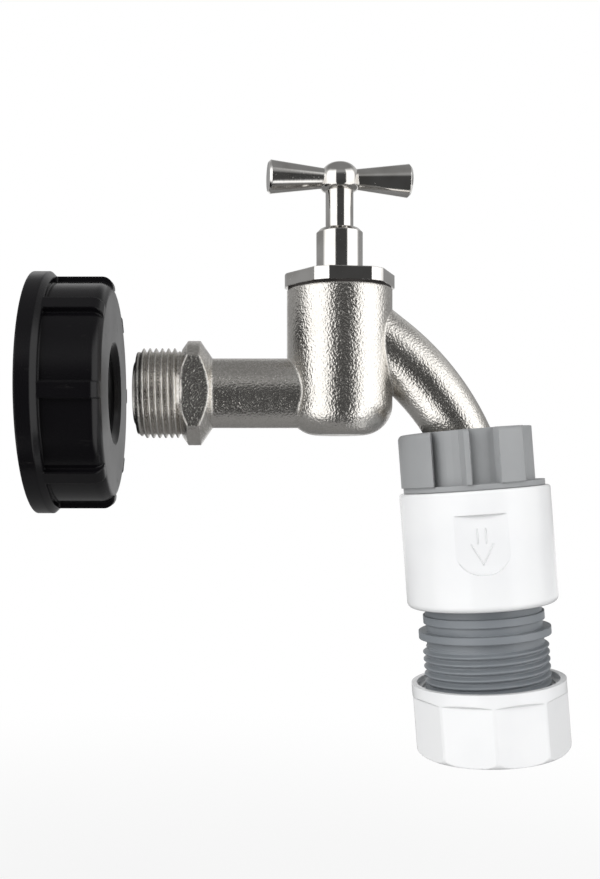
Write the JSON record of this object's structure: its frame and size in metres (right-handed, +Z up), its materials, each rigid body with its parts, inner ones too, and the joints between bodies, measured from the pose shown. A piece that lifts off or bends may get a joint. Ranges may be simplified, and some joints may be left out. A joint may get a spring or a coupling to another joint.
{
  "type": "tank outlet tap adapter",
  "caption": "Black screw cap for a tank outlet, a bib tap with a T handle that screws into it, and a quick hose connector on the tap's spout.",
  "frame": {"origin": "centre of the mouth of the cap's coarse thread, on its rear face", "axes": "+X along the tap's inlet, away from the tank; +Z up, along the tap's spindle; +Y completes the frame, away from the side that the picture shows"},
  "size_m": [0.1549, 0.0708, 0.1748],
  "materials": {
    "black_plastic": "glossy black moulded plastic",
    "black_rubber": "moulded black rubber",
    "nickel_cast": "cast brass, blasted and nickel plated, with a fine satin grain",
    "chrome_turned": "turned brass, polished and chrome plated",
    "gasket_fibre": "pressed fibre",
    "plain_brass": "turned brass, unplated",
    "steel_screw": "blackened steel",
    "grey_plastic": "matte mid grey moulded plastic",
    "coupler_grey_plastic": "matte grey moulded plastic, slightly blue",
    "white_plastic": "glossy white moulded plastic",
    "spring_steel": "drawn stainless spring wire",
    "claw_plastic": "natural white acetal"
  },
  "bodies": {
    "tap": {"tap_body": "nickel_cast", "bonnet": "chrome_turned", "bonnet_gasket": "gasket_fibre", "spindle_o_ring": "black_rubber"},
    "jumper": {"jumper": "plain_brass", "tap_washer": "black_rubber", "washer_nut": "plain_brass"},
    "handle": {"spindle": "chrome_turned", "tee_handle": "chrome_turned", "handle_grub_screw": "steel_screw"},
    "cap_seal": {"ibc_cap_gasket": "black_rubber"},
    "cap": {"ibc_cap": "black_plastic"},
    "outlet_washer": {"connector_washer": "black_rubber"},
    "connector": {"tap_connector": "grey_plastic", "spigot_o_ring": "black_rubber"},
    "coupler": {"coupler_body": "coupler_grey_plastic", "sleeve_spring": "spring_steel"},
    "sleeve": {"release_sleeve": "white_plastic"},
    "claw_1": {"lock_claw_1": "claw_plastic"},
    "claw_2": {"lock_claw_2": "claw_plastic"},
    "claw_3": {"lock_claw_3": "claw_plastic"},
    "claw_4": {"lock_claw_4": "claw_plastic"},
    "collet": {"hose_collet": "coupler_grey_plastic"},
    "nut": {"clamp_nut": "white_plastic"}
  },
  "joints": [
    {"name": "jumper_lift", "type": "slide", "parent": "tap", "child": "jumper", "axis": [0, 0, 1], "range_m": [0, 0.006]},
    {"name": "handle_turn", "type": "hinge", "parent": "jumper", "child": "handle", "pos_m": [0.0885, 0, 0.0597], "axis": [0, 0, 1], "range_deg": [0, 1080]},
    {"name": "cap_seal_travel", "type": "slide", "parent": "tap", "child": "cap_seal", "axis": [1, 0, 0], "range_m": [0, 0.0212]},
    {"name": "cap_turn", "type": "hinge", "parent": "cap_seal", "child": "cap", "pos_m": [0, 0, 0], "axis": [1, 0, 0], "range_deg": [0, 4207.28]},
    {"name": "outlet_washer_travel", "type": "slide", "parent": "tap", "child": "outlet_washer", "axis": [-0.075, 0, 0.9972], "range_m": [-0.01385, 0]},
    {"name": "connector_turn", "type": "hinge", "parent": "outlet_washer", "child": "connector", "pos_m": [0.1268, 0, -0.011], "axis": [-0.075, 0, 0.9972], "range_deg": [-2160.05, 0]},
    {"name": "coupler_swivel", "type": "hinge", "parent": "connector", "child": "coupler", "pos_m": [0.12813, 0, -0.02865], "axis": [-0.075, 0, 0.9972], "continuous": true},
    {"name": "sleeve_pull", "type": "slide", "parent": "coupler", "child": "sleeve", "axis": [0.075, 0, -0.9972], "range_m": [0, 0.005], "stiffness_N_per_m": 500, "springref_m": -0.006, "deforming": ["sleeve_spring"]},
    {"name": "claw_1_release", "type": "slide", "parent": "coupler", "child": "claw_1", "axis": [0.7051, 0.7071, 0.053], "range_m": [0, 0.0019]},
    {"name": "claw_2_release", "type": "slide", "parent": "coupler", "child": "claw_2", "axis": [-0.7051, 0.7071, -0.053], "range_m": [0, 0.0019]},
    {"name": "claw_3_release", "type": "slide", "parent": "coupler", "child": "claw_3", "axis": [-0.7051, -0.7071, -0.053], "range_m": [0, 0.0019]},
    {"name": "claw_4_release", "type": "slide", "parent": "coupler", "child": "claw_4", "axis": [0.7051, -0.7071, 0.053], "range_m": [0, 0.0019]},
    {"name": "collet_travel", "type": "slide", "parent": "coupler", "child": "collet", "axis": [-0.075, 0, 0.9972], "range_m": [-0.0129, 0.00538]},
    {"name": "nut_turn", "type": "hinge", "parent": "collet", "child": "nut", "pos_m": [0.13231, 0, -0.08429], "axis": [-0.075, 0, 0.9972], "range_deg": [-2160, 900]}
  ],
  "couplings": [
    {"joint": "jumper_lift", "follows": "handle_turn", "m_per_rad": 0.00031831},
    {"joint": "cap_seal_travel", "follows": "cap_turn", "m_per_rad": 0.00028871},
    {"joint": "connector_turn", "follows": "outlet_washer_travel", "rad_per_m": 2721.2},
    {"joint": "claw_1_release", "follows": "sleeve_pull", "ratio": 0.38},
    {"joint": "claw_2_release", "follows": "sleeve_pull", "ratio": 0.38},
    {"joint": "claw_3_release", "follows": "sleeve_pull", "ratio": 0.38},
    {"joint": "claw_4_release", "follows": "sleeve_pull", "ratio": 0.38},
    {"joint": "collet_travel", "follows": "nut_turn", "m_per_rad": 0.00034218}
  ]
}
